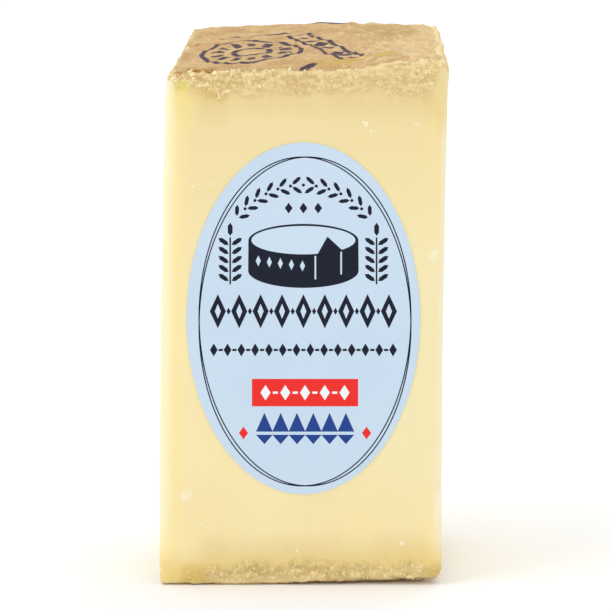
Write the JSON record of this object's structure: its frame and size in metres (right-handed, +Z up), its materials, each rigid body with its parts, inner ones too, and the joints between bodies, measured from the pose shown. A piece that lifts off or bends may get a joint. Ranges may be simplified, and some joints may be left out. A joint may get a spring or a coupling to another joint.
{
  "type": "cheese wedge",
  "caption": "Upright wedge of hard cheese with a browned rind above and below, and a plain-print oval paper label on its front cut face.",
  "frame": {"origin": "centre of the bounding box's bottom face, where the lower rind rests", "axes": "+Z up, +Y from the labelled cut face to the narrower back, +X to the right as seen facing the label"},
  "size_m": [0.063, 0.0508, 0.1168],
  "materials": {
    "cheese": "smooth, slightly waxy cut paste, with a rough tan rind above and below",
    "label": "satin coated paper, pale blue with a dark, red and blue print"
  },
  "bodies": {
    "root": {"cheese": "cheese", "label": "label"}
  },
  "joints": []
}
